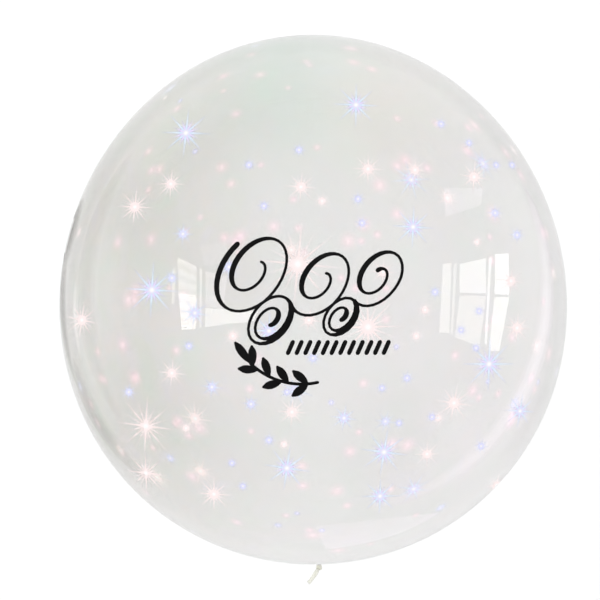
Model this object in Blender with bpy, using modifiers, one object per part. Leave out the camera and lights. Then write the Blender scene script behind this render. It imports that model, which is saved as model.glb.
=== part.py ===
"""Clear bubble balloon, lying on its back with its cut vinyl decoration facing up.

Frame: +X to the right of the decoration, +Y from the knotted neck to the crown, +Z up, out of the
front. The origin is the centre of the small flat spot that the bubble rests on.
"""

import math

import bmesh
import bpy
from mathutils import Matrix, Vector
from mathutils.geometry import delaunay_2d_cdt

MM = 0.001

# The bubble: one film, modelled as a solid
BUBBLE_WIDTH = 500.0 * MM
BUBBLE_HEIGHT = 521.7 * MM
NECK_FULLNESS = 0.025
REST_CUT = 3.0 * MM
BUBBLE_SIDES = 60
BUBBLE_RINGS = 32

# The neck, gathered to a waist and tied in a knot of its own film
GATHER_RADIUS = 12.0 * MM
WAIST_RADIUS = 2.0 * MM
WAIST_DROP = 1.5 * MM
KNOT_RADIUS = 3.0 * MM
KNOT_LENGTH = 5.0 * MM
GATHER_STEPS = 3
KNOT_STEPS = 4

# The tail, the flattened end of the neck beyond the knot
TAIL_WIDTH = 4.5 * MM
TAIL_LENGTH = 16.0 * MM
TAIL_THICKNESS = 0.8 * MM
TAIL_LEAN = math.radians(36.0)
TAIL_BEND = math.radians(10.0)
TAIL_TWIST = math.radians(35.0)
TAIL_STEPS = 6

# The cut vinyl, laid on the film
VINYL_GAP = 0.3 * MM
VINYL_THICKNESS = 0.4 * MM
VINYL_STEP = 5.0 * MM
VINYL_MERGE = 0.01 * MM
SLOPE_REACH = 0.1 * MM

# The whole decoration is stuck on turned a little clockwise about the middle of the front
DECORATION_TURN = math.radians(1.3)

# The pen flourish: a chain of scrolls that turn up and down by turns.
# Each scroll has its radius and the bearing, in degrees, from its centre to the next one's.
SCROLLS = (
    (31.0 * MM, -50.0),
    (18.0 * MM, 42.0),
    (26.0 * MM, -42.0),
    (14.0 * MM, 56.0),
    (22.0 * MM, 0.0),
)
FLOURISH_START = (-67.0 * MM, 27.5 * MM)
FLOURISH_ENTRY = math.radians(140.0)
CURL_TURNS = 1.3
CURL_END_SHARE = 0.24
PEN_SLANT = math.radians(24.0)
PEN_TALLNESS = 1.2
PEN_THIN = 2.6 * MM
PEN_THICK = 5.0 * MM
PEN_SWELL = 1.5

# The row of short strokes below the flourish
ROW_STROKES = 12
ROW_START = (-21.5 * MM, -37.0 * MM)
ROW_PITCH = 7.9 * MM
ROW_STROKE_LENGTH = 15.0 * MM
ROW_STROKE_WIDTH = 4.0 * MM

# The leaf sprig, from the cut end of its stem to the leaf at its tip
SPRIG_FOOT = (3.2 * MM, -68.7 * MM)
SPRIG_STEM_LENGTH = 66.0 * MM
SPRIG_STEM_RADIUS = 67.0 * MM
SPRIG_FOOT_BEARING = math.radians(192.5)
SPRIG_STEM_WIDTH = 2.8 * MM
LEAF_LENGTH = 18.5 * MM
LEAF_WIDTH = 7.8 * MM
LEAVES_ABOVE = 4
LEAVES_BELOW = 3
LEAF_FIRST = 8.5 * MM
LEAF_PITCH_ABOVE = 18.0 * MM
LEAF_PITCH_BELOW = 24.0 * MM
LEAF_SPREAD_ABOVE = math.radians(45.0)
LEAF_SPREAD_BELOW = math.radians(32.0)
LEAF_STEPS = 5
TIP_LEAF_LENGTH = 24.0 * MM
TIP_LEAF_TURN = math.radians(10.0)

# A leaf's outline: where it is widest, how blunt it is, and the shares of its length it runs between
LEAF_FULLNESS = 1.2
LEAF_BLUNTNESS = 0.55
LEAF_ROOT_SHARE = 0.04
LEAF_TIP_SHARE = 0.96

COLLECTION = "clear_bubble_balloon"


# Scene and objects

def clear_scene():
    for obj in list(bpy.data.objects):
        bpy.data.objects.remove(obj, do_unlink=True)


def new_collection(name, hidden=False):
    collection = bpy.data.collections.new(name)
    bpy.context.scene.collection.children.link(collection)
    collection.hide_render = hidden
    return collection


def new_material(name, color, roughness, alpha=1.0, transmission=0.0):
    material = bpy.data.materials.new(name)
    material.use_nodes = True
    shader = material.node_tree.nodes["Principled BSDF"]
    shader.inputs["Base Color"].default_value = (*color, 1.0)
    shader.inputs["Roughness"].default_value = roughness
    shader.inputs["Metallic"].default_value = 0.0
    shader.inputs["Alpha"].default_value = alpha
    shader.inputs["Transmission Weight"].default_value = transmission
    return material


def add_mesh_object(name, mesh, collection, material=None):
    obj = bpy.data.objects.new(name, mesh)
    collection.objects.link(obj)
    if material:
        mesh.materials.append(material)
    return obj


# The bubble's form

def axis_height():
    """Height of the neck-to-crown line above the flat spot."""
    return BUBBLE_WIDTH / 2 - REST_CUT


def middle_y():
    """Half way from neck to crown, set so that the widest ring is over the origin."""
    return NECK_FULLNESS * BUBBLE_HEIGHT / 2


def film_radius(share):
    """Radius at a place on the axis, from -1 at the neck to 1 at the crown."""
    round_part = math.sqrt(max(0.0, 1.0 - share * share))
    return BUBBLE_WIDTH / 2 * round_part * (1.0 - NECK_FULLNESS * share)


def film_point(x, y, lift):
    """Point on the upper side of the film above (x, y), lifted off it along its normal."""
    def height(px, py):
        radius = film_radius((py - middle_y()) / (BUBBLE_HEIGHT / 2))
        return axis_height() + math.sqrt(max(0.0, radius * radius - px * px))

    slope_x = (height(x + SLOPE_REACH, y) - height(x - SLOPE_REACH, y)) / (2 * SLOPE_REACH)
    slope_y = (height(x, y + SLOPE_REACH) - height(x, y - SLOPE_REACH)) / (2 * SLOPE_REACH)
    normal = Vector((-slope_x, -slope_y, 1.0)).normalized()
    return Vector((x, y, height(x, y))) + normal * lift


def bubble_profile():
    """Half outline from the crown, down the round, into the gathered waist and round the knot."""
    half = BUBBLE_HEIGHT / 2
    points = []
    for ring in range(BUBBLE_RINGS + 1):
        turn = math.pi * ring / BUBBLE_RINGS
        radius = film_radius(math.cos(turn))
        if turn > math.pi / 2 and radius <= GATHER_RADIUS:
            break
        points.append((0.0 if ring == 0 else radius, half * math.cos(turn)))

    gather_share = GATHER_RADIUS / (BUBBLE_WIDTH / 2 * (1.0 + NECK_FULLNESS))
    gather_z = -half * math.sqrt(1.0 - gather_share ** 2)
    waist_z = -half - WAIST_DROP
    for step in range(GATHER_STEPS + 1):
        share = step / GATHER_STEPS
        radius = (GATHER_RADIUS * (1 - share) ** 2 + 2 * WAIST_RADIUS * share * (1 - share)
                  + WAIST_RADIUS * share ** 2)
        z = gather_z * (1 - share) ** 2 + 2 * gather_z * share * (1 - share) + waist_z * share ** 2
        points.append((radius, z))

    for step in range(1, KNOT_STEPS):
        turn = math.pi * step / KNOT_STEPS
        radius = WAIST_RADIUS + (KNOT_RADIUS - WAIST_RADIUS) * math.sin(turn)
        points.append((radius, waist_z - KNOT_LENGTH * (1 - math.cos(turn)) / 2))
    points.append((WAIST_RADIUS, waist_z - KNOT_LENGTH))
    points.append((0.0, waist_z - KNOT_LENGTH))
    return points


def make_tail(guides):
    """Flat strip that leaves the knot, leans and twists a little; joined to the film below."""
    curve = bpy.data.curves.new("tail_strip", "CURVE")
    curve.dimensions = "3D"
    curve.twist_mode = "Z_UP"
    curve.extrude = TAIL_WIDTH / 2
    spline = curve.splines.new("POLY")
    spline.points.add(TAIL_STEPS)

    knot_end = middle_y() - BUBBLE_HEIGHT / 2 - WAIST_DROP - KNOT_LENGTH
    rooted = KNOT_LENGTH / 2
    place = Vector((0.0, knot_end + rooted, axis_height()))
    stride = (TAIL_LENGTH + rooted) / TAIL_STEPS
    for step, point in enumerate(spline.points):
        share = step / TAIL_STEPS
        point.co = (*place, 1.0)
        point.tilt = math.pi / 2 + TAIL_TWIST * share
        lean = TAIL_LEAN + TAIL_BEND * (share - 0.5)
        place = place + Vector((-math.sin(lean), -math.cos(lean), 0.0)) * stride

    source = bpy.data.objects.new("tail_source", curve)
    guides.objects.link(source)
    graph = bpy.context.evaluated_depsgraph_get()
    mesh = bpy.data.meshes.new_from_object(source.evaluated_get(graph))
    bpy.data.objects.remove(source, do_unlink=True)

    strip = add_mesh_object("tail_strip", mesh, guides)
    wall = strip.modifiers.new("thickness", "SOLIDIFY")
    wall.thickness = TAIL_THICKNESS
    wall.offset = 0.0
    return strip


def make_rest_cutter(guides):
    """Block whose top is the plane that the bubble rests on."""
    bpy.ops.mesh.primitive_cube_add(size=1.0)
    cutter = bpy.context.active_object
    cutter.name = "rest_cutter"
    for collection in list(cutter.users_collection):
        collection.objects.unlink(cutter)
    guides.objects.link(cutter)
    side = BUBBLE_WIDTH + BUBBLE_HEIGHT
    depth = BUBBLE_WIDTH / 2
    shape = Matrix.Diagonal((side, side, depth, 1.0))
    cutter.data.transform(Matrix.Translation((0.0, 0.0, -depth / 2)) @ shape)
    return cutter


def make_bubble(parts, guides, material):
    mesh = bpy.data.meshes.new("bubble")
    form = bmesh.new()
    outline = [form.verts.new((radius, 0.0, z)) for radius, z in bubble_profile()]
    for upper, lower in zip(outline, outline[1:]):
        form.edges.new((upper, lower))
    form.to_mesh(mesh)
    form.free()

    bubble = add_mesh_object("bubble", mesh, parts, material)
    bubble.location = (0.0, middle_y(), axis_height())
    bubble.rotation_euler = (-math.pi / 2, 0.0, 0.0)

    turned = bubble.modifiers.new("turned", "SCREW")
    turned.axis = "Z"
    turned.angle = 2 * math.pi
    turned.steps = BUBBLE_SIDES
    turned.render_steps = BUBBLE_SIDES
    turned.use_merge_vertices = True
    turned.merge_threshold = 0.0001
    turned.use_smooth_shade = True

    tail = bubble.modifiers.new("tail", "BOOLEAN")
    tail.operation = "UNION"
    tail.object = make_tail(guides)

    rest = bubble.modifiers.new("rest_flat", "BOOLEAN")
    rest.operation = "DIFFERENCE"
    rest.object = make_rest_cutter(guides)
    return bubble


# Cut vinyl

def counter_clockwise(outline):
    area = 0.0
    for (x0, y0), (x1, y1) in zip(outline, outline[1:] + outline[:1]):
        area += x0 * y1 - x1 * y0
    return outline if area > 0 else outline[::-1]


def disc(centre, radius, sides=6):
    turns = [2 * math.pi * side / sides for side in range(sides)]
    return [(centre[0] + radius * math.cos(turn), centre[1] + radius * math.sin(turn))
            for turn in turns]


def directions(points):
    """Unit direction of a centre line at each of its points."""
    ahead = points[1:] + points[-1:]
    behind = points[:1] + points[:-1]
    return [Vector((b[0] - a[0], b[1] - a[1])).normalized() for a, b in zip(behind, ahead)]


def ribbon(points, widths):
    """Outlines of a stroke along a centre line: one four-sided piece a step, and round ends."""
    sides = []
    for (x, y), along, width in zip(points, directions(points), widths):
        across = Vector((-along.y, along.x)) * width / 2
        sides.append(((x + across.x, y + across.y), (x - across.x, y - across.y)))

    outlines = [disc(points[0], widths[0] / 2), disc(points[-1], widths[-1] / 2)]
    for (left, right), (next_left, next_right) in zip(sides, sides[1:]):
        outlines.append([left, right, next_right, next_left])
    return outlines


def stuck_on(corner):
    """Place of a corner of the decoration once it is turned on the front."""
    x, y = corner[0], corner[1] - middle_y()
    across, up = math.cos(DECORATION_TURN), math.sin(DECORATION_TURN)
    return Vector((x * across + y * up, middle_y() + y * across - x * up))


def cut_vinyl(name, outlines, parts, material):
    """Flat outlines joined into one sheet, laid over the film and given its thickness."""
    corners, faces = [], []
    for outline in outlines:
        faces.append(list(range(len(corners), len(corners) + len(outline))))
        corners += [stuck_on(corner) for corner in counter_clockwise(outline)]
    flat, _, triangles, _, _, covered_by = delaunay_2d_cdt(corners, [], faces, 0, VINYL_MERGE)

    form = bmesh.new()
    verts = [form.verts.new(film_point(corner.x, corner.y, VINYL_GAP)) for corner in flat]
    for triangle, cover in zip(triangles, covered_by):
        if cover:
            form.faces.new([verts[index] for index in triangle])
    loose = [vert for vert in form.verts if not vert.link_faces]
    bmesh.ops.delete(form, geom=loose, context="VERTS")
    mesh = bpy.data.meshes.new(name)
    form.to_mesh(mesh)
    form.free()

    sheet = add_mesh_object(name, mesh, parts, material)
    wall = sheet.modifiers.new("thickness", "SOLIDIFY")
    wall.thickness = VINYL_THICKNESS
    wall.offset = 1.0
    return sheet


def slanted(point):
    """Place of a point of the flourish once it leans and is drawn taller than wide."""
    return (point[0] + math.tan(PEN_SLANT) * point[1], point[1] * PEN_TALLNESS)


def pen_widths(points):
    """A broad line on the strokes drawn down the slant and a hairline on the others."""
    down = Vector((-math.sin(PEN_SLANT), -math.cos(PEN_SLANT)))
    swells = [max(0.0, along.dot(down)) ** PEN_SWELL for along in directions(points)]
    return [PEN_THIN + (PEN_THICK - PEN_THIN) * swell for swell in swells]


def sweep(centre, radius, start, end, end_share=1.0):
    """Points round a centre from one bearing to another, the radius running to a share of itself."""
    steps = max(4, round(abs(end - start) * radius / VINYL_STEP))
    points = []
    for step in range(steps + 1):
        share = step / steps
        bearing = start + (end - start) * share
        reach = radius * (1 + (end_share - 1) * share)
        points.append((centre[0] + reach * math.cos(bearing), centre[1] + reach * math.sin(bearing)))
    return points


def flourish_lines():
    """Centre lines: the stem that runs under and over the scrolls, and each scroll's curl."""
    stem, curls = [], []
    centre, entry, turn = FLOURISH_START, FLOURISH_ENTRY, 1
    for index, (radius, bearing) in enumerate(SCROLLS):
        leave = math.radians(bearing)
        while (leave - entry) * turn < 0:
            leave += 2 * math.pi * turn
        stem += sweep(centre, radius, entry, leave)[1 if stem else 0:]
        curl_end = leave + turn * 2 * math.pi * CURL_TURNS
        curls.append(sweep(centre, radius, leave, curl_end, CURL_END_SHARE))
        if index + 1 < len(SCROLLS):
            gap = radius + SCROLLS[index + 1][0]
            centre = (centre[0] + gap * math.cos(leave), centre[1] + gap * math.sin(leave))
        entry, turn = leave + math.pi, -turn
    return [stem] + curls


def make_flourish(parts, material):
    outlines = []
    for line in flourish_lines():
        points = [slanted(point) for point in line]
        outlines += ribbon(points, pen_widths(points))
    return cut_vinyl("flourish", outlines, parts, material)


def make_row_strokes(parts, material):
    """Short slanted strokes in a level row, each a piece of its own."""
    lean = Vector((math.sin(PEN_SLANT), math.cos(PEN_SLANT)))
    run = ROW_STROKE_LENGTH - ROW_STROKE_WIDTH
    for index in range(ROW_STROKES):
        middle = Vector((ROW_START[0] + ROW_PITCH * index, ROW_START[1]))
        line = [tuple(middle + lean * run * share) for share in (-0.5, 0.5)]
        outlines = ribbon(line, [ROW_STROKE_WIDTH] * len(line))
        cut_vinyl(f"row_stroke_{index + 1:02d}", outlines, parts, material)


def leaf(base, bearing, length):
    """Outlines of a leaf that is widest past its middle and blunt at its tip."""
    points, widths = [], []
    for step in range(LEAF_STEPS + 1):
        share = LEAF_ROOT_SHARE + (LEAF_TIP_SHARE - LEAF_ROOT_SHARE) * step / LEAF_STEPS
        reach = length * share
        points.append((base[0] + reach * math.cos(bearing), base[1] + reach * math.sin(bearing)))
        widths.append(LEAF_WIDTH * math.sin(math.pi * share ** LEAF_FULLNESS) ** LEAF_BLUNTNESS)
    return ribbon(points, widths)


def stem_at(length):
    """Place and bearing on the stem, a stretch of circle that climbs from its cut end."""
    bearing = SPRIG_FOOT_BEARING - length / SPRIG_STEM_RADIUS
    across = math.sin(SPRIG_FOOT_BEARING) - math.sin(bearing)
    along = math.cos(SPRIG_FOOT_BEARING) - math.cos(bearing)
    return (SPRIG_FOOT[0] + SPRIG_STEM_RADIUS * across, SPRIG_FOOT[1] - SPRIG_STEM_RADIUS * along), bearing


def make_leaf_sprig(parts, material):
    steps = round(SPRIG_STEM_LENGTH / VINYL_STEP)
    line = [stem_at(SPRIG_STEM_LENGTH * step / steps)[0] for step in range(steps + 1)]
    outlines = ribbon(line, [SPRIG_STEM_WIDTH] * len(line))
    for index in range(LEAVES_ABOVE):
        place, bearing = stem_at(LEAF_FIRST + LEAF_PITCH_ABOVE * index)
        outlines += leaf(place, bearing - LEAF_SPREAD_ABOVE, LEAF_LENGTH)
    for index in range(LEAVES_BELOW):
        place, bearing = stem_at(LEAF_FIRST + LEAF_PITCH_BELOW * index)
        outlines += leaf(place, bearing + LEAF_SPREAD_BELOW, LEAF_LENGTH)
    tip, bearing = stem_at(SPRIG_STEM_LENGTH)
    outlines += leaf(tip, bearing - TIP_LEAF_TURN, TIP_LEAF_LENGTH)
    return cut_vinyl("leaf_sprig", outlines, parts, material)


def main():
    clear_scene()
    parts = new_collection(COLLECTION)
    guides = new_collection("guides", hidden=True)
    film = new_material("clear_film", (0.93, 0.93, 0.92), 0.05, alpha=0.25, transmission=0.9)
    vinyl = new_material("black_vinyl", (0.012, 0.012, 0.013), 0.45)

    make_bubble(parts, guides, film)
    make_flourish(parts, vinyl)
    make_row_strokes(parts, vinyl)
    make_leaf_sprig(parts, vinyl)
    for guide in guides.objects:
        guide.hide_render = True
        guide.display_type = "WIRE"


main()
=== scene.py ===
"""Looks of a clear bubble balloon, lying on its back with its cut vinyl decoration facing up.

The CAD model gives every size and place. Here it is dressed as one thin clear film with a gathered
neck, a knot and a flat tail, black cut vinyl, and small glowing star glints painted on the film. The
film's colour also carries painted shade, a painted grey rim and pearly tints painted as a reflection.
"""

import math

import bmesh
import bpy
from mathutils import Matrix, Vector
from mathutils.interpolate import poly_3d_calc


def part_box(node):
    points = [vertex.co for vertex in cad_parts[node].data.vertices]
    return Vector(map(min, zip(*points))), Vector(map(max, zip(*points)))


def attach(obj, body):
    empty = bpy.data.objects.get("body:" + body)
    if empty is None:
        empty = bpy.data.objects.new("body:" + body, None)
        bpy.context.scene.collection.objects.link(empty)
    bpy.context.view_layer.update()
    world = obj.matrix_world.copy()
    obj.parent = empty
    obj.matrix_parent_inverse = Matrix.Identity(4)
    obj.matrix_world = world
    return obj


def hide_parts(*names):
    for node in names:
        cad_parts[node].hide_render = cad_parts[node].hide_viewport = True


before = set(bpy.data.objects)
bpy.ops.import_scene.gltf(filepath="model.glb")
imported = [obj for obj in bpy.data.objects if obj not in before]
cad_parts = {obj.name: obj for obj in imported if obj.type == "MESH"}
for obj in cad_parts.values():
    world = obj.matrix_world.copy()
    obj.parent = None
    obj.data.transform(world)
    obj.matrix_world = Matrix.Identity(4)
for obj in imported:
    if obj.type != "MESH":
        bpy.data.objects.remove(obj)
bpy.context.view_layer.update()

MM = 0.001

# The film's form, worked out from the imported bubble
BUBBLE_LOW, BUBBLE_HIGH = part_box("bubble")
REST_CUT = 3.0 * MM
NECK_FULLNESS = 0.025
BUBBLE_WIDTH = BUBBLE_HIGH.x - BUBBLE_LOW.x
BUBBLE_HEIGHT = 2 * BUBBLE_HIGH.y / (1 + NECK_FULLNESS)
AXIS_HEIGHT = BUBBLE_WIDTH / 2 - REST_CUT
MIDDLE_Y = NECK_FULLNESS * BUBBLE_HEIGHT / 2
FILM_WALL = 0.3 * MM

# The gathered neck, its knot and the flat tail
GATHER_RADIUS = 12.0 * MM
WAIST_RADIUS = 2.0 * MM
WAIST_DROP = 1.5 * MM
KNOT_RADIUS = 3.0 * MM
KNOT_LENGTH = 5.0 * MM
TAIL_WIDTH = 4.5 * MM
TAIL_LENGTH = 16.0 * MM
TAIL_THICKNESS = 0.8 * MM
TAIL_LEAN = math.radians(36.0)
TAIL_BEND = math.radians(10.0)
TAIL_TWIST = math.radians(35.0)

# The photograph's frame, in its pixels, and the camera that gives it
PHOTO_PIXELS = 600
OUTLINE_PIXELS = 508
BUBBLE_CENTRE_PIXEL = (313.0, 299.5)
CAMERA_DISTANCE = 3.0
CAMERA_ROLL = math.radians(-1.3)
SENSOR_WIDTH = 36.0
OUTLINE_SPREAD = 1 / math.sqrt(1 - (BUBBLE_WIDTH / 2 / CAMERA_DISTANCE) ** 2)
PIXEL = BUBBLE_WIDTH * OUTLINE_SPREAD / OUTLINE_PIXELS

# Star glints by their pixel in the photograph and the reach of their rays in pixels
ROSE_GLINTS = (
    (298, 264, 42), (368, 327, 34), (146, 426, 29), (146, 473, 21), (135, 207, 18), (171, 184, 15),
    (301, 187, 16), (322, 201, 10), (368, 169, 16), (415, 170, 14), (474, 177, 16), (82, 320, 18),
    (172, 373, 15), (186, 428, 10), (214, 494, 18), (292, 412, 16), (284, 444, 9), (309, 320, 14),
    (233, 336, 12), (425, 310, 10), (416, 336, 9), (511, 281, 14), (517, 328, 16), (454, 403, 19),
    (438, 418, 9), (427, 454, 14), (496, 485, 13), (383, 272, 14), (477, 242, 8),
)
BLUE_GLINTS = (
    (186, 133, 24), (356, 105, 22), (413, 227, 20), (152, 290, 27), (489, 364, 26), (384, 452, 23),
    (287, 468, 22), (380, 496, 18), (269, 331, 18), (229, 267, 12), (212, 387, 11), (251, 404, 10),
    (344, 418, 13), (183, 234, 11), (195, 313, 14), (313, 358, 9), (520, 411, 16), (129, 392, 9),
    (172, 278, 9), (299, 150, 8), (249, 165, 8), (264, 206, 8), (358, 199, 8), (362, 223, 8),
    (441, 124, 8), (469, 143, 7), (496, 165, 7), (512, 165, 7), (495, 213, 9), (517, 235, 9),
    (189, 346, 8), (435, 292, 8), (479, 311, 7), (461, 330, 7), (476, 348, 7), (407, 378, 8),
    (382, 388, 7), (399, 423, 7), (432, 417, 7), (481, 446, 8), (269, 440, 8), (232, 463, 7),
    (243, 486, 7), (287, 392, 7),
)

# Window panes mirrored in the film: the pixels of four corners, clockwise from the upper left, how
# bright it glows, its tint, and how much darker every second slat of its blind is
WARM = (1.0, 0.97, 0.92)
WHITE = (1.0, 0.99, 0.98)
LILAC = (1.0, 0.91, 1.0)
RIGHT_PANES = (
    (((443, 264), (451.3, 263), (449.3, 333), (439, 333)), 0.9, WARM, 0.0),
    (((454, 264), (457, 263), (453, 334), (450.5, 334)), 0.7, WARM, 0.0),
    (((459.6, 264), (485.7, 258), (486.3, 293.4), (459.6, 292.5)), 1.0, WHITE, 0.0),
    (((459.6, 295.5), (486, 296), (479.5, 347), (454.7, 337)), 0.75, WARM, 0.0),
    (((489, 257), (491.8, 257), (487, 345), (484.5, 343)), 1.0, WHITE, 0.0),
    (((495, 254), (508.5, 253.5), (509.5, 295), (494.6, 294)), 1.05, WHITE, 0.0),
    (((494.4, 297), (509.3, 297), (499.4, 351), (488.5, 351)), 1.0, WARM, 0.0),
    (((443.7, 188), (482.5, 188), (481.5, 205), (445, 217)), 0.42, LILAC, 0.0),
    (((395, 262), (428, 258), (424, 372), (392, 365)), 0.2, LILAC, 0.0),
)
LEFT_PANES = (
    (((172.5, 268), (175.5, 266), (174.5, 303), (171.5, 305)), 0.5, WARM, 0.0),
    (((177.5, 257), (196.5, 266.5), (196.5, 296), (178.5, 292)), 0.65, WARM, 0.25),
    (((178.5, 292), (196.5, 296), (196, 328.5), (181.5, 330)), 1.1, WARM, 0.12),
    (((199.8, 268), (202, 269), (201.5, 328), (199.6, 328)), 0.6, WHITE, 0.0),
    (((205.5, 271), (227, 277), (224, 308), (205.5, 307)), 0.45, LILAC, 0.2),
    (((205.5, 308), (258, 311), (254, 321), (205, 327)), 0.7, WHITE, 0.0),
    (((200, 246), (226, 242), (228, 263), (204, 266)), 0.22, LILAC, 0.0),
)
BOTTOM_PANES = (
    (((315, 526), (445, 512), (428, 530), (328, 553)), 1.5, LILAC, 0.0),
)
# The groups of panes, how many times brighter each glows, and its reach from the film in metres
PANE_GROUPS = ((RIGHT_PANES, 6.0, 0.9), (LEFT_PANES, 9.0, 1.6), (BOTTOM_PANES, 1.0, 0.5))
# The longest side, in pixels, of the small panes that fill one pane
PANE_STEP = 6.0

# Bands mirrored along the rim: two bearings in degrees from the bubble's middle, the share of its
# outline that each end lies at, the width as such a share, the glow and the tint.
# A band that glows less than the pale room shows dark, and every band fades into the room's glow.
RIM_BANDS = (
    (28.0, -74.0, 0.935, 0.815, 0.066, 2.05, LILAC),
    (157.0, 174.0, 0.982, 0.988, 0.036, 0.35, WHITE),
    (165.0, 200.0, 0.985, 0.985, 0.022, 0.45, WHITE),
    (174.0, 195.0, 0.938, 0.942, 0.020, 1.90, WHITE),
    (142.0, 213.0, 0.900, 0.880, 0.065, 0.35, WHITE),
    (193.0, 228.0, 0.970, 0.935, 0.050, 0.50, WHITE),
)
ROOM_GLOW = 0.9
RIM_BAND_STEPS = 24
RIM_BAND_REACH = 0.25
# How late along a band its distance from the rim changes, and how much of its glow each strip has
RIM_BAND_BEND = 1.6
RIM_BAND_STRIPS = (0.35, 0.8, 1.0, 0.8, 0.35)
# How soon a band is at its full width and glow, and its width at both ends
RIM_BAND_TAPER = 0.6
RIM_BAND_FADE = 0.7
RIM_BAND_TIP = 0.02


# Node trees

class Nodes:
    """Adds nodes to one tree, each from its type, its settings and what its sockets take."""

    def __init__(self, tree):
        self.tree = tree

    def add(self, kind, settings=None, sockets=None, output=0):
        node = self.tree.nodes.new(kind)
        for name, value in (settings or {}).items():
            if name == "stops":
                set_stops(node.color_ramp.elements, value)
            else:
                setattr(node, name, value)
        for name, value in (sockets or {}).items():
            self.feed(node.inputs[name], value)
        return Value(self, node.outputs[output]) if node.outputs else node

    def feed(self, socket, value):
        if isinstance(value, Value):
            self.tree.links.new(value.socket, socket)
        else:
            socket.default_value = value

    def vector(self, x, y, z):
        return self.add("ShaderNodeCombineXYZ", {}, {"X": x, "Y": y, "Z": z})

    def mix_color(self, factor, first, second, blend="MIX"):
        settings = {"data_type": "RGBA", "blend_type": blend, "clamp_factor": True}
        return self.add("ShaderNodeMix", settings, {0: factor, 6: first, 7: second}, output=2)


class Value:
    """A socket in an expression, so that arithmetic on it adds Math nodes to its tree."""

    def __init__(self, nodes, socket):
        self.nodes = nodes
        self.socket = socket

    def output(self, name):
        return Value(self.nodes, self.socket.node.outputs[name])

    def maths(self, operation, *terms):
        return self.nodes.add("ShaderNodeMath", {"operation": operation}, dict(enumerate(terms)))

    def __add__(self, other):
        return self.maths("ADD", self, other)

    __radd__ = __add__

    def __sub__(self, other):
        return self.maths("SUBTRACT", self, other)

    def __rsub__(self, other):
        return self.maths("SUBTRACT", other, self)

    def __mul__(self, other):
        return self.maths("MULTIPLY", self, other)

    __rmul__ = __mul__

    def __truediv__(self, other):
        return self.maths("DIVIDE", self, other)

    def __rtruediv__(self, other):
        return self.maths("DIVIDE", other, self)

    def __pow__(self, other):
        return self.maths("POWER", self, other)

    def __neg__(self):
        return self.maths("MULTIPLY", self, -1.0)

    def sine(self):
        return self.maths("SINE", self)

    def cosine(self):
        return self.maths("COSINE", self)

    def size(self):
        return self.maths("ABSOLUTE", self)

    def part(self):
        return self.maths("FRACT", self)

    def at_least(self, low):
        return self.maths("MAXIMUM", self, low)

    def at_most(self, high):
        return self.maths("MINIMUM", self, high)

    def share(self):
        """Kept between 0 and 1."""
        return self.at_least(0.0).at_most(1.0)

    def fading(self):
        """1 at zero, falling away to 0."""
        return self.maths("EXPONENT", -self)

    def bell(self, width):
        """1 at zero, falling away smoothly over a width."""
        ratio = self / width
        return self.maths("EXPONENT", -(ratio * ratio))

    def ramp_between(self, low, high):
        """0 at low, 1 at high, and smooth between."""
        settings = {"interpolation_type": "SMOOTHSTEP"}
        return self.nodes.add("ShaderNodeMapRange", settings, {"Value": self, 1: low, 2: high})


def set_stops(elements, stops):
    while len(elements) < len(stops):
        elements.new(1.0)
    for element, (place, color) in zip(elements, stops):
        element.position = place
        element.color = (*color, 1.0)


def new_shape_tree(name, sizes):
    """An empty geometry tree with a named input for each size, and those inputs."""
    tree = bpy.data.node_groups.new(name, "GeometryNodeTree")
    tree.interface.new_socket("Geometry", in_out="INPUT", socket_type="NodeSocketGeometry")
    kinds = {bool: "NodeSocketBool", int: "NodeSocketInt", float: "NodeSocketFloat"}
    for label, value in sizes.items():
        kind = "NodeSocketObject" if isinstance(value, bpy.types.Object) else kinds[type(value)]
        tree.interface.new_socket(label, in_out="INPUT", socket_type=kind)
    tree.interface.new_socket("Geometry", in_out="OUTPUT", socket_type="NodeSocketGeometry")
    nodes = Nodes(tree)
    entry = nodes.add("NodeGroupInput")
    return nodes, {label: entry.output(label) for label in ("Geometry", *sizes)}


def finish_shape_tree(nodes, geometry, material):
    geometry = nodes.add("GeometryNodeSetShadeSmooth", {}, {"Geometry": geometry})
    geometry = nodes.add("GeometryNodeRealizeInstances", {}, {"Geometry": geometry})
    sockets = {"Geometry": geometry, "Material": material}
    geometry = nodes.add("GeometryNodeSetMaterial", {}, sockets)
    nodes.add("NodeGroupOutput", {}, {"Geometry": geometry})
    return nodes.tree


def shaped(name, mesh, tree, sizes):
    """A new piece whose plain mesh is what a geometry tree makes of a mesh."""
    piece = add_piece(name, mesh)
    shape = piece.modifiers.new("shape", "NODES")
    shape.node_group = tree
    for item in tree.interface.items_tree:
        if item.name in sizes:
            shape[item.identifier] = sizes[item.name]
    graph = bpy.context.evaluated_depsgraph_get()
    made = bpy.data.meshes.new_from_object(piece.evaluated_get(graph))
    piece.modifiers.remove(shape)
    piece.data = made
    made.name = name
    return piece


def add_piece(name, mesh):
    piece = bpy.data.objects.new(name, mesh)
    bpy.context.scene.collection.objects.link(piece)
    return piece


def hide_from(piece, *rays):
    """Keeps a piece out of some kinds of ray."""
    for ray in rays:
        setattr(piece, f"visible_{ray}", False)


def new_material(name):
    """A material with a Principled shader, its nodes, and the shader's sockets."""
    material = bpy.data.materials.new(name)
    material.use_nodes = True
    shader = material.node_tree.nodes["Principled BSDF"]
    return material, Nodes(material.node_tree), shader.inputs
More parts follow.
